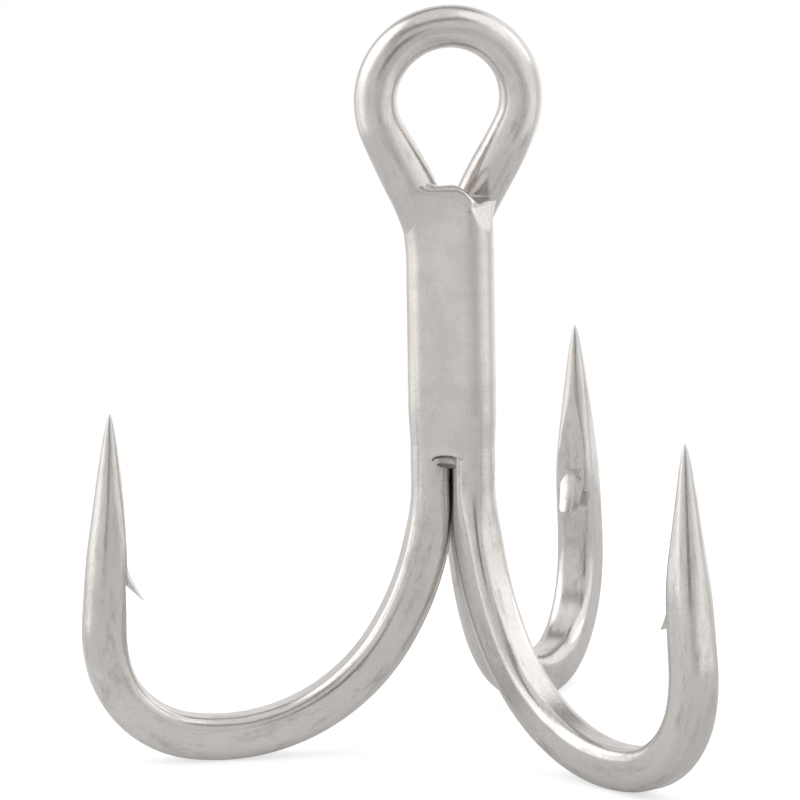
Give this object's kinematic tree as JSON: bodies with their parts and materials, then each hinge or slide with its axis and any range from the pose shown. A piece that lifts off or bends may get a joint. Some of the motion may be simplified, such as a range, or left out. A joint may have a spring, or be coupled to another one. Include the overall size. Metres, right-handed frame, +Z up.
{
  "type": "treble hook",
  "caption": "Short-shank treble fishing hook with forged bends and barbed points, its wires brazed together at the shank below a line eye.",
  "frame": {"origin": "on the shank axis, level with the middle of the eye", "axes": "+Z up the shank to the eye; the eye opens along Y; one hook points along -X and the other two follow at 120 degree steps"},
  "size_m": [0.0344, 0.0394, 0.0443],
  "materials": {
    "tinned_wire": "satin",
    "tinned_braze": "satin"
  },
  "bodies": {
    "root": {"double_hook_wire": "tinned_wire", "single_hook_wire": "tinned_wire", "front_braze_fillet": "tinned_braze", "left_rear_braze_fillet": "tinned_braze", "right_rear_braze_fillet": "tinned_braze", "braze_core": "tinned_braze", "eye_throat_web": "tinned_braze"}
  },
  "joints": []
}
